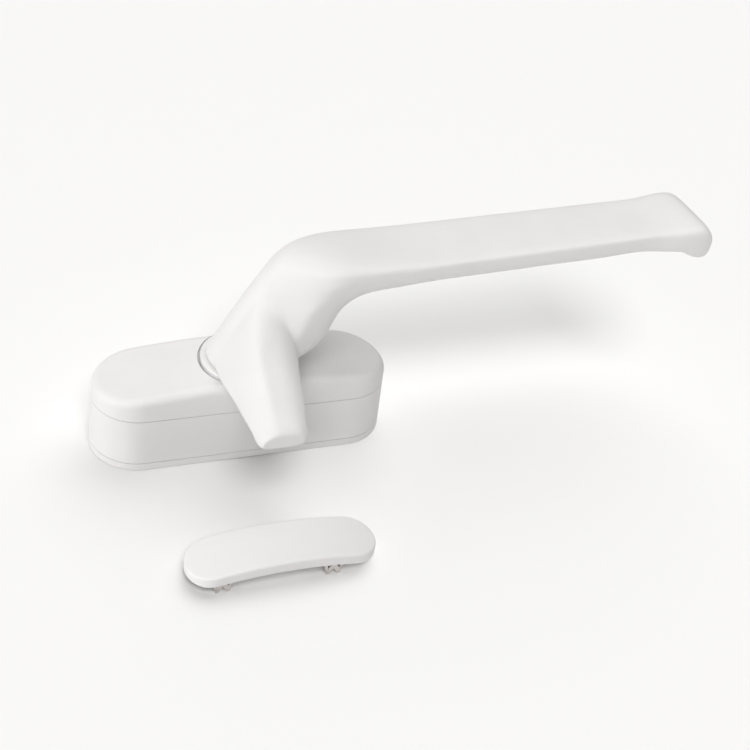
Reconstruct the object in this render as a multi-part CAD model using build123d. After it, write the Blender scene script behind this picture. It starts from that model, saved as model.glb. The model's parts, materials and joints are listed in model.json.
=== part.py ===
from build123d import *
import os
from math import asin, cos, degrees, pi, radians, sin, sqrt, tan

# Window turn handle of the cockspur kind, millimetres, +Z away from the window frame.
# Origin: where the turning axis meets the underside of the foot plate.
# +X points along the grip, -Y along the locking spur.

# Driving dimensions of the base
BASE_LENGTH = 84.0
BASE_WIDTH = 26.4
FOOT_TOP = 2.35               # top of the foot plate
BODY_BOTTOM = 2.55            # underside of the base body, above a thin shadow gap
BODY_TOP = 16.55
COVER_BOTTOM = 16.75          # parting line between body and cover
COVER_END_Z = 21.3            # height of the cover's top at its two ends
CROWN_RISE = 4.1              # how much higher the top is in the middle
COVER_FILLET = 2.3
BODY_DRAFT = 2.3              # degrees, all outer walls lean inwards
WALL = 2.2
FLOOR_THICKNESS = 2.4
EDGE_BREAK = 0.4

# Turning parts
SEAT_Z = 23.7                 # floor of the recess that the collar stands in
SEAT_RADIUS = 12.75           # the recess leaves a shadow gap round the collar
COLLAR_RADIUS = 12.0
COLLAR_TOP = 26.1
HUB_Z = 26.3                  # underside of the lever's hub
HUB_RADIUS = 10.6
JOURNAL_RADIUS = 5.0
BUSH_RADIUS = 6.6
BUSH_CLEARANCE = 0.03         # radial running clearance of the journal
SQUARE = 6.9                  # both square ends of the spindle
SPINDLE_BOTTOM = 5.4
SPINDLE_TOP = 34.0
GRUB_Z = 31.2                 # axis of the screw that locks the lever on the spindle
PLATE_BOTTOM = 14.0
PLATE_TOP = 16.2
SWING = 90.0                  # degrees, closed to fully open

# Index cam and its leaf springs
CAM_BOTTOM = 7.5
CAM_TOP = 12.0
CAM_FLAT = 7.0                # from the axis to a flat
CAM_CORNER = 8.6              # from the axis to a corner
LUG_RADIUS = 9.9
LUG_HALF_ANGLE = 14.0
LUG_REST_ANGLE = 225.0
SPRING_THICKNESS = 0.5
SPRING_HEIGHT = 3.6
SPRING_HALF_LENGTH = 17.5

# Stop pins, screws and inserts
STOP_PIN_RADIUS = 1.5
STOP_PIN_CIRCLE = 8.7
STOP_GAP_ANGLE = 1.0
INSERT_X = 32.0
INSERT_RADIUS = 4.0
THREAD_RADIUS = 2.5           # M5
INSERT_TOP = 12.0
COVER_SCREW_X = 24.0
COVER_SCREW_RADIUS = 1.5
COVER_SCREW_HEAD = 2.8

# Lever
GRIP_TIP_X = 133.6
GRIP_REF_X = 84.0
GRIP_REF_Z = 61.3
GRIP_RISE = 0.0638            # the grip climbs slightly towards its tip
GRIP_HALF_WIDTH = 10.7
GRIP_TAPER = 0.0078
GRIP_THICKNESS = 7.4
LIP_SECTIONS = [              # x, top, bottom, extra half width of the down-turned lip
    (121.0, 64.1, 56.2, 0.8),
    (125.2, 64.7, 55.8, 1.3),
    (128.6, 65.0, 54.2, 1.5),
    (131.0, 64.6, 53.5, 1.5),
    (132.6, 63.4, 53.8, 1.2),
    (GRIP_TIP_X, 61.6, 55.2, 0.7),
]
SPUR_TIP_Y = -38.0
SPUR_UNDERSIDE = 26.5

# Striker that the spur bears on
STRIKER_X = -2.0
STRIKER_Y = -52.7
STRIKER_LENGTH = 49.6
STRIKER_WIDTH = 14.2
STRIKER_BOTTOM = 2.8
STRIKER_END_THICKNESS = 2.1
STRIKER_RISE = 3.0
STRIKER_HOLLOW = 2.0          # rise of the arch under the striker
STRIKER_LAND = 3.8            # flat land at each end of that arch
CLIP_PLACES = (-16.6, 12.0)   # clip centres from the striker's centre
CLIP_FOOT_LENGTH = 6.4
CLIP_FOOT_BOTTOM = 4.4
CLIP_ROW_Y = 5.9              # each clip has a row of teeth near either long edge
CLIP_SHEET = 0.8

os.makedirs("parts", exist_ok=True)


def write(name, *solids):
    """Write one node: a single solid, or a group of separate ones."""
    shape = solids[0] if len(solids) == 1 else Compound(children=list(solids))
    export_step(shape, f"parts/{name}.step")


def tube(outer, inner, bottom, top, x=0.0, y=0.0):
    """A ring standing on the level `bottom`."""
    height = top - bottom
    ring = Cylinder(outer, height) - Cylinder(inner, 3 * height)
    return Pos(x, y, (bottom + top) / 2) * ring


def rod(radius, bottom, top, x=0.0, y=0.0):
    """A round bar standing on the level `bottom`."""
    return Pos(x, y, (bottom + top) / 2) * Cylinder(radius, top - bottom)


def block(length, width, bottom, top, x=0.0, y=0.0):
    """A square-edged block standing on the level `bottom`."""
    return Pos(x, y, (bottom + top) / 2) * Box(length, width, top - bottom)


def inset_at(z):
    """How far the drafted outer wall has leaned in at a height."""
    return z * tan(radians(BODY_DRAFT))


def stadium(bottom, top, inset=0.0):
    """A drafted, round-ended block between two levels, `inset` inside the outer wall."""
    width = BASE_WIDTH - 2 * (inset_at(bottom) + inset)
    length = BASE_LENGTH - 2 * (inset_at(bottom) + inset)
    outline = Pos(0, 0, bottom) * SlotOverall(length, width)
    return extrude(outline, top - bottom, taper=BODY_DRAFT)


def mirrored(make, x):
    """The same piece at +x and at -x."""
    return [make(x), make(-x)]


# ---------------------------------------------------------------- base

def foot_plate():
    plate = stadium(0, FOOT_TOP)
    plate = fillet(plate.edges().group_by(Axis.Z)[0], EDGE_BREAK)
    for x in (INSERT_X, -INSERT_X):
        plate -= rod(INSERT_RADIUS, -1, FOOT_TOP + 1, x)
    return plate


def base_body():
    floor_top = BODY_BOTTOM + FLOOR_THICKNESS
    body = stadium(BODY_BOTTOM, BODY_TOP) - stadium(floor_top, BODY_TOP + 1, WALL)
    for x in (COVER_SCREW_X, -COVER_SCREW_X):
        body += rod(COVER_SCREW_RADIUS + 2, floor_top - 1, PLATE_BOTTOM, x)
    for x in (INSERT_X, -INSERT_X):
        body += rod(INSERT_RADIUS + 1.8, floor_top - 1, INSERT_TOP, x)
    for x in (COVER_SCREW_X, -COVER_SCREW_X):
        body -= rod(COVER_SCREW_RADIUS + 0.15, 0, PLATE_BOTTOM + 1, x)
        body -= rod(COVER_SCREW_HEAD + 0.2, 0, BODY_BOTTOM + 1.7, x)
    for x in (INSERT_X, -INSERT_X):
        body -= rod(INSERT_RADIUS, 0, INSERT_TOP + 1, x)
    for x, y in spring_posts():
        body += block(2.4, 3.2, floor_top - 1, CAM_TOP + 0.4, x, y)
    for sign in (1, -1):
        body -= leaf_spring(sign, slack=0.1)
    body -= rod(SQUARE + 1.1, 0, floor_top + 1)
    for angle in stop_angles():
        x, y = polar(STOP_PIN_CIRCLE, angle)
        body -= rod(STOP_PIN_RADIUS, 0, floor_top + 1, x, y)
    return body


def spring_posts():
    """Where the slotted posts stand that hold the ends of the leaf springs."""
    y = CAM_FLAT + SPRING_THICKNESS
    x = SPRING_HALF_LENGTH - 0.6
    return [(sx * x, sy * y) for sx in (1, -1) for sy in (1, -1)]


def crowned_top(margin=0.0):
    """A tall block whose top follows the cover's crown, lowered by `margin`."""
    half = BASE_LENGTH / 2
    end_z = COVER_END_Z - margin
    arch = ThreePointArc((-half, end_z), (0, end_z + CROWN_RISE), (half, end_z))
    sides = Polyline((half, end_z), (half, 0), (-half, 0), (-half, end_z))
    profile = Plane.XZ * make_face([arch, sides])
    return extrude(profile, BASE_WIDTH, both=True)


def cover_shell():
    """The cover's outer shape with its rounded rim and the recess for the collar."""
    solid = stadium(COVER_BOTTOM, COVER_END_Z + CROWN_RISE + 1) & crowned_top()
    top_face = solid.faces().sort_by(Axis.Z)[-1]
    solid = fillet(top_face.edges(), COVER_FILLET)
    return solid - rod(SEAT_RADIUS, SEAT_Z, SEAT_Z + 5)


def top_cover():
    ceiling = 2.2
    inner = stadium(COVER_BOTTOM - 1, COVER_END_Z + CROWN_RISE, WALL) & crowned_top(ceiling)
    cover = cover_shell() - inner
    lip_bottom = COVER_BOTTOM - 0.5
    lip = stadium(lip_bottom, COVER_BOTTOM + 2, WALL + 0.15) - stadium(0, COVER_BOTTOM + 3, WALL + 1.4)
    cover += lip
    cover += rod(SEAT_RADIUS + 1, SEAT_Z - 2.2, SEAT_Z) & stadium(COVER_BOTTOM, SEAT_Z)
    cover += rod(BUSH_RADIUS + 3, COVER_BOTTOM - 0.45, SEAT_Z)
    cover -= rod(BUSH_RADIUS, 0, SEAT_Z + 1)
    cover -= rod(BUSH_RADIUS + 1.6, SEAT_Z - 2, SEAT_Z + 1)
    for x in (COVER_SCREW_X, -COVER_SCREW_X):
        cover += rod(COVER_SCREW_RADIUS + 2, PLATE_TOP + 0.1, COVER_END_Z + 1, x)
        cover -= rod(COVER_SCREW_RADIUS, 0, COVER_END_Z - 1.5, x)
    return cover


def mechanism_plate():
    outline = SlotOverall(2 * COVER_SCREW_X + 16, 18.4)
    plate = extrude(Pos(0, 0, PLATE_BOTTOM) * outline, PLATE_TOP - PLATE_BOTTOM)
    plate -= rod(BUSH_RADIUS, 0, PLATE_TOP + 1)
    for x in (COVER_SCREW_X, -COVER_SCREW_X):
        plate -= rod(COVER_SCREW_RADIUS + 0.15, 0, PLATE_TOP + 1, x)
    return plate


def collar_ring():
    ring = tube(COLLAR_RADIUS, BUSH_RADIUS + 0.05, SEAT_Z + 0.1, COLLAR_TOP)
    ring = chamfer(ring.edges().group_by(Axis.Z)[-1].sort_by(SortBy.LENGTH)[-1], 0.35)
    return ring + tube(BUSH_RADIUS + 1.5, BUSH_RADIUS + 0.05, SEAT_Z - 1.9, SEAT_Z + 0.5)


def bearing_bush():
    return tube(BUSH_RADIUS, JOURNAL_RADIUS + BUSH_CLEARANCE, PLATE_BOTTOM, COLLAR_TOP - 0.3)


def thrust_washer():
    return tube(JOURNAL_RADIUS + 3.6, JOURNAL_RADIUS + 0.2, CAM_TOP + 1.1, PLATE_BOTTOM - 0.02)


def disc_spring():
    """A shallow cone of spring steel that takes up the play above the cam."""
    inner = JOURNAL_RADIUS + 0.3
    outer = JOURNAL_RADIUS + 3.0
    thickness = 0.35
    low = CAM_TOP + 0.15
    high = CAM_TOP + 1.05
    profile = Polyline(
        (inner, high - thickness), (inner, high), (outer, low + thickness), (outer, low), close=True
    )
    return revolve(Plane.XZ * make_face(profile), Axis.Z)


# ------------------------------------------------------- index mechanism

def polar(radius, angle):
    return radius * cos(radians(angle)), radius * sin(radians(angle))


def stop_angles():
    """Angles of the two pins that the cam's lug runs against."""
    pin = degrees(asin(STOP_PIN_RADIUS / STOP_PIN_CIRCLE))
    reach = LUG_HALF_ANGLE + pin + STOP_GAP_ANGLE
    return LUG_REST_ANGLE - reach, LUG_REST_ANGLE + SWING + reach


def index_cam():
    square = extrude(Pos(0, 0, CAM_BOTTOM) * Rectangle(2 * CAM_FLAT, 2 * CAM_FLAT), CAM_TOP - CAM_BOTTOM)
    cam = square & rod(CAM_CORNER, CAM_BOTTOM, CAM_TOP)
    lug_bottom = SPINDLE_BOTTOM + 0.2
    cam += rod(JOURNAL_RADIUS + 1.4, lug_bottom, CAM_BOTTOM)
    edge_a = polar(LUG_RADIUS, LUG_REST_ANGLE - LUG_HALF_ANGLE)
    edge_m = polar(LUG_RADIUS, LUG_REST_ANGLE)
    edge_b = polar(LUG_RADIUS, LUG_REST_ANGLE + LUG_HALF_ANGLE)
    sides = Polyline(edge_b, (0, 0), edge_a)
    sector = make_face([sides, ThreePointArc(edge_a, edge_m, edge_b)])
    cam += extrude(Pos(0, 0, lug_bottom) * sector, CAM_BOTTOM - lug_bottom)
    return cam - block(SQUARE, SQUARE, 0, CAM_TOP + 1)


def leaf_spring(sign, slack=0.0):
    """A straight leaf that lies on one flat of the cam, ends in slots of the body."""
    thickness = SPRING_THICKNESS + 2 * slack
    y = sign * (CAM_FLAT + 0.05 + SPRING_THICKNESS / 2)
    bottom = CAM_BOTTOM + 0.5 - slack
    top = CAM_BOTTOM + 0.5 + SPRING_HEIGHT + (2 if slack else 0)
    return block(2 * SPRING_HALF_LENGTH + 2 * slack, thickness, bottom, top, 0, y)


def stop_pin(angle):
    x, y = polar(STOP_PIN_CIRCLE, angle)
    return rod(STOP_PIN_RADIUS, BODY_BOTTOM + 0.1, CAM_BOTTOM - 0.3, x, y)


def spindle():
    bar = block(SQUARE, SQUARE, SPINDLE_BOTTOM, SPINDLE_TOP)
    bar = chamfer(bar.edges().group_by(Axis.Z)[-1], 0.6)
    bar += rod(JOURNAL_RADIUS, CAM_TOP + 0.4, HUB_Z)
    return bar - rod(2.0, 0, SPINDLE_BOTTOM + 9)


def retaining_screw():
    """M4 screw and integral flange that hold the cam on the spindle."""
    screw = rod(2.0, BODY_BOTTOM + 0.6, SPINDLE_BOTTOM + 8)
    screw += rod(3.6, BODY_BOTTOM + 0.1, SPINDLE_BOTTOM - 1.1)
    return screw - block(1.0, 9, 0, BODY_BOTTOM + 0.8)


def retaining_washer():
    return tube(6.0, 2.1, SPINDLE_BOTTOM - 1.0, SPINDLE_BOTTOM - 0.05)


# -------------------------------------------------------------- fasteners

def cover_screw(x):
    """Self-tapping screw from beneath, through the body and plate into the cover."""
    head_top = BODY_BOTTOM + 1.6
    screw = rod(COVER_SCREW_HEAD, BODY_BOTTOM + 0.1, head_top, x)
    screw += rod(COVER_SCREW_RADIUS, head_top - 0.5, COVER_END_Z - 2.2, x)
    slot = block(3.2, 0.8, 0, BODY_BOTTOM + 0.8, x) + block(0.8, 3.2, 0, BODY_BOTTOM + 0.8, x)
    return screw - slot


def threaded_insert(x):
    """Brass M5 insert, open at the underside of the foot plate."""
    return tube(INSERT_RADIUS, THREAD_RADIUS, 0, INSERT_TOP, x)


def grub_screw():
    """M5 grub screw that locks the lever on its spindle, from the back of the hub."""
    socket_face = HUB_RADIUS - 1.6
    start = SQUARE / 2 + 0.05
    length = socket_face - start
    screw = Pos(0, start + length / 2, GRUB_Z) * Rot(90, 0, 0) * Cylinder(THREAD_RADIUS, length)
    hexagon = Pos(0, socket_face, GRUB_Z) * Rot(90, 0, 0) * extrude(RegularPolygon(1.4, 6), 2, both=True)
    return screw - hexagon


# ------------------------------------------------------------------ lever

def rounded_section(plane, left, right, outer, inner, powers):
    """Closed outline about the plane's origin from four superellipse quarters.

    `left`, `right`, `outer` and `inner` are its reach each way, and `powers` are the
    quarters' exponents: outer left, outer right, then both inner ones.
    """
    count = 32
    outer_left, outer_right, inner_both = powers
    points = []
    for step in range(count):
        angle = 2 * pi * (step + 0.5) / count
        c, s = cos(angle), sin(angle)
        power = inner_both if s < 0 else (outer_right if c > 0 else outer_left)
        reach = right if c > 0 else -left
        depth = outer if s > 0 else -inner
        points.append((reach * abs(c) ** (2 / power), depth * abs(s) ** (2 / power)))
    return plane * make_face([Spline(*points, periodic=True)])


def arm_section(outer, inner, half_width, nose, powers):
    """A section of the arm from its outer point to its inner point, both (x, z).

    `nose` is the share of the section's depth that the rounded outer side takes, and
    `powers` are the exponents of its front outer, back outer and inner quarters.
    """
    dx, dz = outer[0] - inner[0], outer[1] - inner[1]
    depth = sqrt(dx * dx + dz * dz)
    mid_x = inner[0] + dx * (1 - nose)
    mid_z = inner[1] + dz * (1 - nose)
    up = Vector(dx / depth, 0, dz / depth)
    side = Vector(0, 1, 0)
    plane = Plane(origin=(mid_x, 0, mid_z), x_dir=side, z_dir=side.cross(up))
    return rounded_section(plane, half_width, half_width, depth * nose, depth * (1 - nose), powers)


def grip_top(x):
    return GRIP_REF_Z + GRIP_RISE * (x - GRIP_REF_X)


def grip_half_width(x):
    return GRIP_HALF_WIDTH - GRIP_TAPER * (x - GRIP_REF_X)


def arm():
    """Hub, neck, elbow and grip in one smooth loft, ending in a down-turned lip."""
    hub = HUB_RADIUS
    sections = [
        arm_section((-hub, HUB_Z), (hub, HUB_Z), hub, 0.5, (2.0, 2.0, 2.0)),
        arm_section((-9.2, 30.0), (15.0, 29.4), 10.6, 0.52, (1.7, 2.0, 2.3)),
        arm_section((-6.4, 35.5), (19.6, 33.6), 10.6, 0.58, (1.25, 2.0, 3.0)),
        arm_section((-2.4, 42.5), (22.2, 39.6), 10.6, 0.58, (1.14, 2.0, 3.4)),
        arm_section((2.6, 50.4), (24.8, 45.3), 10.8, 0.54, (1.16, 2.0, 3.4)),
        arm_section((9.0, 57.0), (29.8, 48.7), 11.0, 0.46, (1.46, 2.2, 3.4)),
        arm_section((20.0, 59.0), (35.2, 49.7), 11.0, 0.36, (2.6, 2.8, 3.4)),
        arm_section((33.0, 58.6), (40.4, 50.6), 11.1, 0.32, (4.6, 4.6, 3.4)),
    ]
    for x in (48.0, 66.0, 84.0, 102.0, 113.0):
        top = grip_top(x)
        bottom = top - GRIP_THICKNESS
        powers = (6.0, 6.0, 3.4)
        sections.append(arm_section((x, top), (x, bottom), grip_half_width(x), 0.30, powers))
    for x, top, bottom, flare in LIP_SECTIONS:
        half_width = grip_half_width(x) + flare
        sections.append(arm_section((x, top), (x, bottom), half_width, 0.45, (4.8, 4.8, 4.6)))
    return loft(sections)


def spur_section(y, left, right, ridge_x, top, bottom, powers):
    """A section across the spur: flat underneath, an off-centre ridge on top."""
    low_depth = 1.4
    middle = bottom + low_depth
    plane = Plane(origin=(ridge_x, y, middle), x_dir=(1, 0, 0), z_dir=(0, -1, 0))
    return rounded_section(plane, left + ridge_x, right - ridge_x, top - middle, low_depth, powers)


def spur():
    """The cockspur: a gusset down the neck's front that becomes a wedge with a blunt tip."""
    low = SPUR_UNDERSIDE
    sections = [
        spur_section(-3.0, 9.4, 12.2, 0.8, 46.0, low, (1.04, 2.9, 5.0)),
        spur_section(-7.0, 9.6, 12.1, 0.2, 43.8, low, (1.06, 2.9, 5.0)),
        spur_section(-11.0, 9.5, 11.6, -0.5, 41.2, low, (1.10, 2.9, 5.0)),
        spur_section(-15.0, 8.9, 10.9, -1.1, 38.8, low, (1.16, 2.9, 5.0)),
        spur_section(-19.0, 8.2, 10.2, -1.3, 37.0, low, (1.22, 2.9, 5.0)),
        spur_section(-27.0, 7.1, 8.9, -1.3, 34.2, low - 0.2, (1.3, 2.9, 5.0)),
        spur_section(-33.0, 6.3, 7.7, -1.2, 32.2, low - 0.6, (1.4, 2.9, 4.4)),
        spur_section(-36.6, 5.8, 6.9, -0.9, 31.0, low - 0.9, (1.6, 2.9, 4.0)),
        spur_section(SPUR_TIP_Y, 5.0, 6.0, -0.4, 29.9, low - 0.7, (2.0, 2.8, 3.6)),
    ]
    return loft(sections)


def lever():
    body = arm() + spur()
    body -= block(SQUARE, SQUARE, HUB_Z - 1, SPINDLE_TOP + 0.1)
    grub = Pos(0, 10, GRUB_Z) * Rot(90, 0, 0) * Cylinder(THREAD_RADIUS, 20)
    return body - grub


# ---------------------------------------------------------------- striker

def striker_shell():
    """Round-ended wedge whose top arches along its length."""
    half = STRIKER_LENGTH / 2
    end_z = STRIKER_BOTTOM + STRIKER_END_THICKNESS
    arch = ThreePointArc((-half, end_z), (0, end_z + STRIKER_RISE), (half, end_z))
    sides = Polyline((half, end_z), (half, STRIKER_BOTTOM), (-half, STRIKER_BOTTOM), (-half, end_z))
    profile = extrude(Plane.XZ * make_face([arch, sides]), STRIKER_WIDTH, both=True)
    outline = Pos(0, 0, STRIKER_BOTTOM) * SlotOverall(STRIKER_LENGTH, STRIKER_WIDTH)
    return extrude(outline, 10) & profile


def clip_pocket(x):
    """The recess in the striker's underside that a clip's foot fills."""
    slack = 0.1
    length = CLIP_FOOT_LENGTH + 2 * slack
    width = 2 * CLIP_ROW_Y + CLIP_SHEET + 2 * slack
    return block(length, width, 0, CLIP_FOOT_BOTTOM + CLIP_SHEET + slack, x)


def underside_arch():
    """What is scooped out of the striker's underside, between two flat end lands."""
    half = STRIKER_LENGTH / 2 - STRIKER_LAND
    start = (-half, STRIKER_BOTTOM)
    end = (half, STRIKER_BOTTOM)
    arc = ThreePointArc(start, (0, STRIKER_BOTTOM + STRIKER_HOLLOW), end)
    profile = Plane.XZ * make_face([arc, Line(end, start)])
    return extrude(profile, STRIKER_WIDTH, both=True)


def striker_body():
    body = striker_shell()
    top_face = body.faces().sort_by(Axis.Z)[-1]
    body = fillet(top_face.edges(), 0.7) - underside_arch()
    for x in CLIP_PLACES:
        body -= clip_pocket(x)
    return Pos(STRIKER_X, STRIKER_Y, 0) * body


def striker_clip(x):
    """Sprung steel clip: a foot with a W-shaped pair of teeth bent down at each end."""
    foot_width = 2 * CLIP_ROW_Y + CLIP_SHEET
    clip = block(CLIP_FOOT_LENGTH, foot_width, CLIP_FOOT_BOTTOM, CLIP_FOOT_BOTTOM + CLIP_SHEET, x)
    root = CLIP_FOOT_BOTTOM + CLIP_SHEET / 2
    half_below = [(0, 2.0), (1.2, 0), (1.8, 0), (2.9, root)]
    half_above = [(1.9, root), (1.5, 2.1), (0.3, 3.8)]
    half = half_below + half_above
    other_half = [(-px, pz) for px, pz in reversed(half[1:])]
    outline = Polyline(*half, *other_half, close=True)
    teeth = extrude(Plane.XZ * make_face(outline), CLIP_SHEET / 2, both=True)
    for y in (CLIP_ROW_Y, -CLIP_ROW_Y):
        clip += Pos(x, y, 0) * teeth
    return Pos(STRIKER_X, STRIKER_Y, 0) * clip


write("foot_plate", foot_plate())
write("base_body", base_body())
write("top_cover", top_cover())
write("mechanism_plate", mechanism_plate())
write("collar_ring", collar_ring())
write("bearing_bush", bearing_bush())
write("thrust_washer", thrust_washer())
write("disc_spring", disc_spring())
write("index_cam", index_cam())
write("detent_spring_front", leaf_spring(-1))
write("detent_spring_back", leaf_spring(1))
write("stop_pins", *[stop_pin(angle) for angle in stop_angles()])
write("spindle", spindle())
write("retaining_washer", retaining_washer())
write("retaining_screw", retaining_screw())
write("cover_screws", *mirrored(cover_screw, COVER_SCREW_X))
write("m5_inserts", *mirrored(threaded_insert, INSERT_X))
write("grub_screw", grub_screw())
write("lever", lever())
write("striker_body", striker_body())
write("striker_clips", *[striker_clip(x) for x in CLIP_PLACES])
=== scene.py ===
"""Looks of the window turn handle: materials, refined visible skins, floor, light and camera.

Everything is in metres in the frame of the CAD part: the turning axis is +Z through the origin,
the grip points along +X and the locking spur along -Y.
"""

import json
from math import cos, radians, sin

import bmesh
import bpy
import numpy as np
from mathutils import Matrix, Vector


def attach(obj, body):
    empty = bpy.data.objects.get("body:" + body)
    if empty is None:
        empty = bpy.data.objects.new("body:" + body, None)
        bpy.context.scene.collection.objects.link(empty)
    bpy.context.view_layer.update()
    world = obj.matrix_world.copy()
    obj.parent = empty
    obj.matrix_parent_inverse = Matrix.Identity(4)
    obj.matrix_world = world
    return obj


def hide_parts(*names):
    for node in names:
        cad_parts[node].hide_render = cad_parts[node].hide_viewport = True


MM = 0.001

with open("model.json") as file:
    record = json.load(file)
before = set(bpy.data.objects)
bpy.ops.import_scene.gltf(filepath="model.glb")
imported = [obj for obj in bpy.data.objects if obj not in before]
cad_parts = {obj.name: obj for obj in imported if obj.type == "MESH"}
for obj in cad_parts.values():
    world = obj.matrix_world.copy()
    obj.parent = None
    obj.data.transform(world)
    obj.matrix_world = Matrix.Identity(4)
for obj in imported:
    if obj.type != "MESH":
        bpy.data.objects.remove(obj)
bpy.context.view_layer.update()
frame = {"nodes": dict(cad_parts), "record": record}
nodes = frame["nodes"]


# ---------------------------------------------------------------- camera, floor and light

CAMERA_PLACE = (-0.0741, -0.2360, 0.2172)
CAMERA_AZIMUTH = 25.83
CAMERA_DOWN = 37.8
CAMERA_ROLL = 10.42
CAMERA_LENS = 54.48


def make_camera():
    """The camera that took the reference view; its roll turns the picture clockwise."""
    azimuth, down, roll = (radians(a) for a in (CAMERA_AZIMUTH, CAMERA_DOWN, CAMERA_ROLL))
    ahead = Vector((sin(azimuth) * cos(down), cos(azimuth) * cos(down), -sin(down)))
    level_right = Vector((cos(azimuth), -sin(azimuth), 0))
    level_up = level_right.cross(ahead)
    right = cos(roll) * level_right + sin(roll) * level_up
    up = right.cross(ahead)
    data = bpy.data.cameras.new("camera")
    data.sensor_width = 36
    data.lens = CAMERA_LENS
    data.clip_start = 0.01
    camera = bpy.data.objects.new("camera", data)
    turn = Matrix((right, up, -ahead)).transposed().to_4x4()
    camera.matrix_world = Matrix.Translation(CAMERA_PLACE) @ turn
    bpy.context.scene.collection.objects.link(camera)
    bpy.context.scene.camera = camera


SKY_COLOUR = (1.0, 0.95, 0.92, 1)
SKY_POWER = 0.07
WALL_COLOUR = (0.94, 0.935, 0.93, 1)
PART_LIGHTS = (               # name, azimuth from +X, height, spread (degrees), power
    ("low_left", 183, 25, 34, 1.38),
    ("front_left", 238, 48, 42, 1.56),
    ("overhead_right", 20, 64, 50, 1.04),
    ("overhead_back", 95, 44, 60, 0.45),
)
FLOOR_LIGHTS = (              # these light only the floor, where the part casts their shadows
    ("floor_front", 262, 56, 30, 1.70),
    ("floor_back", 52, 56, 66, 1.92),
)


def make_sky():
    """Faint even light. To the camera alone, the studio's walls are as pale as the floor."""
    world = bpy.data.worlds.new("studio")
    bpy.context.scene.world = world
    world.use_nodes = True
    tree = world.node_tree
    sky = tree.nodes["Background"]
    sky.inputs["Color"].default_value = SKY_COLOUR
    sky.inputs["Strength"].default_value = SKY_POWER
    walls = tree.nodes.new("ShaderNodeBackground")
    walls.inputs["Color"].default_value = WALL_COLOUR
    rays = tree.nodes.new("ShaderNodeLightPath")
    chosen = tree.nodes.new("ShaderNodeMixShader")
    tree.links.new(rays.outputs["Is Camera Ray"], chosen.inputs["Fac"])
    tree.links.new(sky.outputs["Background"], chosen.inputs[1])
    tree.links.new(walls.outputs["Background"], chosen.inputs[2])
    tree.links.new(chosen.outputs["Shader"], tree.nodes["World Output"].inputs["Surface"])


def make_softbox(name, azimuth, height, spread, power):
    """A broad soft light that comes evenly from one side."""
    azimuth, height = radians(azimuth), radians(height)
    towards = Vector((cos(azimuth) * cos(height), sin(azimuth) * cos(height), sin(height)))
    data = bpy.data.lights.new(name, "SUN")
    data.energy = power
    data.angle = radians(spread)
    lamp = bpy.data.objects.new(name, data)
    lamp.rotation_euler = towards.to_track_quat("Z", "Y").to_euler()
    bpy.context.scene.collection.objects.link(lamp)
    return lamp


def lit_group(name, floor, state):
    """Light linking group that holds the floor, either to light it alone or to leave it out."""
    group = bpy.data.collections.new(name)
    group.objects.link(floor)
    group.collection_objects[0].light_linking.link_state = state
    return group


def make_studio(floor):
    """Lights for the part, and others for the floor alone, as in a cut-out product picture."""
    bpy.context.scene.view_settings.view_transform = "Standard"
    make_sky()
    part_group = lit_group("all_but_floor", floor, "EXCLUDE")
    floor_group = lit_group("floor_only", floor, "INCLUDE")
    for softbox in PART_LIGHTS:
        make_softbox(*softbox).light_linking.receiver_collection = part_group
    for softbox in FLOOR_LIGHTS:
        make_softbox(*softbox).light_linking.receiver_collection = floor_group


FLOOR_HALF_SIZE = 4.0
PAPER_COLOUR = (0.925, 0.922, 0.918, 1)


def make_floor():
    """A sheet of matt white paper that the part lies on."""
    half = FLOOR_HALF_SIZE
    corners = [(-half, -half, 0), (half, -half, 0), (half, half, 0), (-half, half, 0)]
    mesh = bpy.data.meshes.new("floor")
    mesh.from_pydata(corners, [], [(0, 1, 2, 3)])
    floor = bpy.data.objects.new("floor", mesh)
    bpy.context.scene.collection.objects.link(floor)
    material = bpy.data.materials.new("floor_paper")
    material.use_nodes = True
    shader = material.node_tree.nodes["Principled BSDF"]
    shader.inputs["Base Color"].default_value = PAPER_COLOUR
    shader.inputs["Roughness"].default_value = 0.95
    shader.inputs["Specular IOR Level"].default_value = 0.1
    mesh.materials.append(material)
    return floor


# ---------------------------------------------------------------- materials

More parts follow.
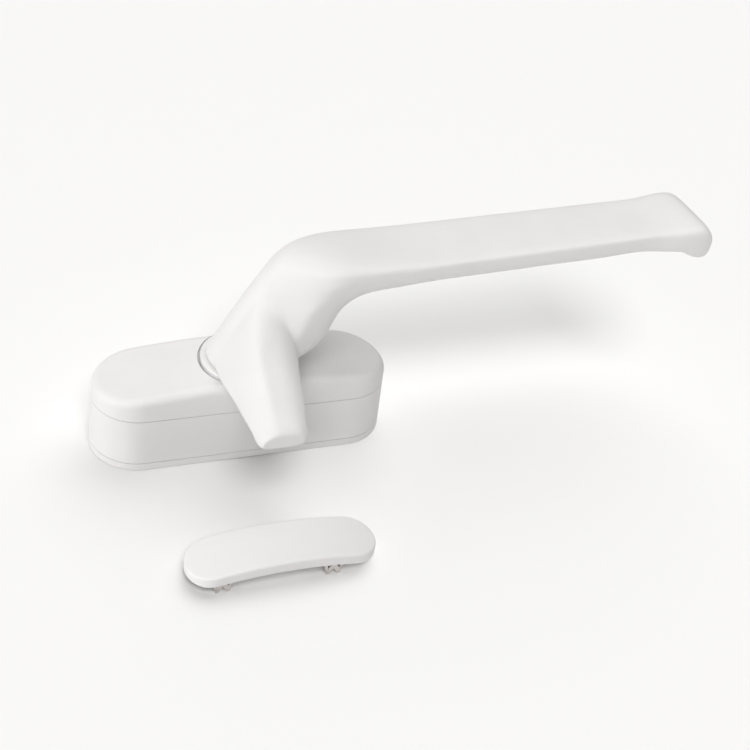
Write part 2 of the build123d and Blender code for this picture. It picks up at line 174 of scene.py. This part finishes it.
class Nodes:
    """A material's node tree with short calls to add and join nodes."""

    def __init__(self, name):
        self.material = bpy.data.materials.new(name)
        self.material.use_nodes = True
        self.tree = self.material.node_tree
        self.shader = self.tree.nodes["Principled BSDF"]
        self.place = self.add("ShaderNodeTexCoord").outputs["Object"]

    def add(self, kind, **values):
        node = self.tree.nodes.new(kind)
        for name, value in values.items():
            setattr(node, name, value)
        return node

    def join(self, source, target):
        self.tree.links.new(source, target)

    def set(self, **values):
        for name, value in values.items():
            self.shader.inputs[name.replace("_", " ")].default_value = value

    def noise(self, grain_mm, detail=2.0, stretch=(1, 1, 1)):
        """Noise whose lumps are about `grain_mm` across, longer where `stretch` is above 1."""
        mapping = self.add("ShaderNodeMapping")
        scale = [1 / (grain_mm * MM * s) for s in stretch]
        mapping.inputs["Scale"].default_value = scale
        self.join(self.place, mapping.inputs["Vector"])
        node = self.add("ShaderNodeTexNoise")
        node.inputs["Scale"].default_value = 1.0
        node.inputs["Detail"].default_value = detail
        self.join(mapping.outputs["Vector"], node.inputs["Vector"])
        return node.outputs["Fac"]

    def ramp(self, factor, low, high, start=0.3, end=0.7):
        """Values from `low` to `high`, each one number or a colour."""
        node = self.add("ShaderNodeValToRGB")
        for stop, place, value in zip(node.color_ramp.elements, (start, end), (low, high)):
            stop.position = place
            stop.color = (value,) * 3 + (1,) if isinstance(value, float) else (*value, 1)
        self.join(factor, node.inputs["Fac"])
        return node.outputs["Color"]

    def bump(self, height, depth_mm, below=None):
        node = self.add("ShaderNodeBump")
        node.inputs["Strength"].default_value = 1.0
        node.inputs["Distance"].default_value = depth_mm * MM
        self.join(height, node.inputs["Height"])
        if below:
            self.join(below, node.inputs["Normal"])
        return node.outputs["Normal"]

    def finish(self, colour, roughness, normal):
        self.join(colour, self.shader.inputs["Base Color"])
        self.join(roughness, self.shader.inputs["Roughness"])
        self.join(normal, self.shader.inputs["Normal"])
        return self.material


def powder_coat():
    """White polyester powder coat: satin, with a faint orange peel and cloudiness."""
    n = Nodes("powder_coat_white")
    colour = n.ramp(n.noise(9, 3), (0.773, 0.760, 0.752), (0.795, 0.782, 0.774))
    roughness = n.ramp(n.noise(2.2, 3), 0.46, 0.56)
    peel = n.bump(n.noise(1.1, 1), 0.012)
    grain = n.bump(n.noise(0.16, 2), 0.0022, peel)
    n.set(IOR=1.45)
    return n.finish(colour, roughness, grain)


def moulded_plastic(name, light, dark, roughness, texture_mm):
    """Moulded plastic with an eroded-mould texture and faint flow marks."""
    n = Nodes(name)
    colour = n.ramp(n.noise(14, 3, (2.4, 1, 1)), dark, light)
    gloss = n.ramp(n.noise(3, 3), roughness - 0.035, roughness + 0.045)
    flow = n.bump(n.noise(6, 1, (2.5, 1, 1)), 0.006)
    texture = n.bump(n.noise(texture_mm, 2), 0.004, flow)
    n.set(IOR=1.49, Subsurface_Weight=0.06, Subsurface_Scale=0.0015)
    return n.finish(colour, gloss, texture)


def metal(name, light, dark, roughness, grain_mm, stretch=(1, 1, 1), depth_mm=0.004):
    """Plated, blackened or plain metal with a directional grain."""
    n = Nodes(name)
    colour = n.ramp(n.noise(2.6, 4), dark, light)
    gloss = n.ramp(n.noise(0.9, 3), roughness - 0.06, roughness + 0.08)
    grain = n.bump(n.noise(grain_mm, 3, stretch), depth_mm)
    n.set(Metallic=1.0)
    return n.finish(colour, gloss, grain)


def dress_nodes():
    """Gives each CAD node that stays in view the finish of its material slot."""
    white = moulded_plastic("moulded_white", (0.80, 0.789, 0.783), (0.776, 0.764, 0.758), 0.5, 0.22)
    nylon = moulded_plastic("natural_nylon", (0.80, 0.797, 0.787), (0.775, 0.77, 0.758), 0.5, 0.3)
    striker = moulded_plastic("striker_white", (0.80, 0.788, 0.782), (0.777, 0.765, 0.759), 0.46, 0.2)
    zinc = metal("zinc_plate", (0.80, 0.81, 0.83), (0.66, 0.68, 0.72), 0.32, 0.5, (1, 1, 4))
    spring = metal("spring_strip", (0.74, 0.70, 0.68), (0.56, 0.52, 0.50), 0.40, 0.25, (12, 1, 1))
    black = metal("black_oxide", (0.075, 0.075, 0.08), (0.045, 0.045, 0.05), 0.42, 0.4)
    brass = metal("turned_brass", (0.83, 0.64, 0.33), (0.72, 0.52, 0.24), 0.28, 0.3, (6, 6, 1))
    looks = {
        "powder_coat": powder_coat(),
        "white_plastic": white,
        "white_nylon": nylon,
        "striker_plastic": striker,
        "zinc_plated_steel": zinc,
        "spring_steel": spring,
        "black_steel": black,
        "brass": brass,
    }
    for part in frame["record"]["subparts"]:
        nodes[part["node"]].material_slots[0].material = looks[part["material_slot"]]
    return looks


# ---------------------------------------------------------------- visible skins

NET_SIZE = 0.38 * MM          # edge length of the lever's net
WELD_DISTANCE = 0.001 * MM
JUNCTION_ROUNDS = 165
CREASE_ROUNDS = 8
OVERALL_ROUNDS = 3
HUB_EDGE = 27.2               # heights in mm: below the first the hub's rim keeps its shape,
HUB_CLEAR = 30                # and from the second up the relaxing has its full weight


def piece(name, mesh, look, body):
    """A new visible object with its finish, riding on a CAD body."""
    obj = bpy.data.objects.new(name, mesh)
    bpy.context.scene.collection.objects.link(obj)
    mesh.materials.clear()
    mesh.materials.append(looks[look])
    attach(obj, body)
    return obj


def welded_copy(node):
    """A copy of a CAD node's mesh with its split edges joined again."""
    mesh = nodes[node].data.copy()
    bm = bmesh.new()
    bm.from_mesh(mesh)
    bmesh.ops.remove_doubles(bm, verts=bm.verts, dist=WELD_DISTANCE)
    bm.to_mesh(mesh)
    bm.free()
    return mesh


def remeshed(mesh, voxel):
    """The mesh as an even net of small quads."""
    holder = bpy.data.objects.new("remesh_holder", mesh)
    bpy.context.scene.collection.objects.link(holder)
    net = holder.modifiers.new("net", "REMESH")
    net.mode = "VOXEL"
    net.voxel_size = voxel
    evaluated = holder.evaluated_get(bpy.context.evaluated_depsgraph_get())
    result = bpy.data.meshes.new_from_object(evaluated)
    bpy.data.objects.remove(holder)
    return result


def relax(mesh, rounds, share):
    """Moves each vertex towards the middle of its neighbours; `share` gives how far, per vertex."""
    count = len(mesh.vertices)
    place = np.empty(count * 3)
    mesh.vertices.foreach_get("co", place)
    place = place.reshape(-1, 3)
    ends = np.empty(len(mesh.edges) * 2, dtype=np.int64)
    mesh.edges.foreach_get("vertices", ends)
    first, second = ends.reshape(-1, 2).T
    neighbours = np.bincount(ends, minlength=count)
    weight = share(place)[:, None]
    for _ in range(rounds):
        total = np.empty_like(place)
        for axis in range(3):
            total[:, axis] = np.bincount(first, place[second, axis], count)
            total[:, axis] += np.bincount(second, place[first, axis], count)
        place += weight * (total / neighbours[:, None] - place)
    mesh.vertices.foreach_set("co", place.ravel())
    mesh.update()


def smooth_step(value, start, end):
    """0 up to `start`, 1 from `end` on, with a soft rise between."""
    t = np.clip((value - start) / (end - start), 0, 1)
    return t * t * (3 - 2 * t)


def window(value, start, full, fade, end):
    """Rises from 0 at `start` to 1 at `full`, then falls from 1 at `fade` to 0 at `end`."""
    return smooth_step(value, start, full) * (1 - smooth_step(value, fade, end))


def junction_share(place):
    """Full weight where the spur runs into the neck, fading to nothing around it."""
    x, y, z = (place / MM).T
    along = window(y, -15, -9, -1, 5)
    height = window(z, HUB_EDGE, HUB_CLEAR, 50, 58)
    across = 1 - smooth_step(x, 4, 9)
    return 0.6 * along * height * across


def crease_share(place):
    """Weight along the inside corner between the spur's right side and the neck."""
    x, y, z = (place / MM).T
    along = window(y, -17, -13, -8, -5)
    height = window(z, HUB_EDGE, HUB_CLEAR, 46, 52)
    return 0.5 * along * height * smooth_step(x, 6, 9)


def everywhere(place):
    return np.full(len(place), 0.5)


def lever_skin():
    """The lever as one casting: the spur flows out of the neck without a crease."""
    mesh = remeshed(welded_copy("lever"), NET_SIZE)
    relax(mesh, JUNCTION_ROUNDS, junction_share)
    relax(mesh, CREASE_ROUNDS, crease_share)
    relax(mesh, OVERALL_ROUNDS, everywhere)
    mesh.shade_smooth()
    skin = piece("lever_casting", mesh, "powder_coat", "lever")
    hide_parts("lever")


make_camera()
make_studio(make_floor())
looks = dress_nodes()
lever_skin()
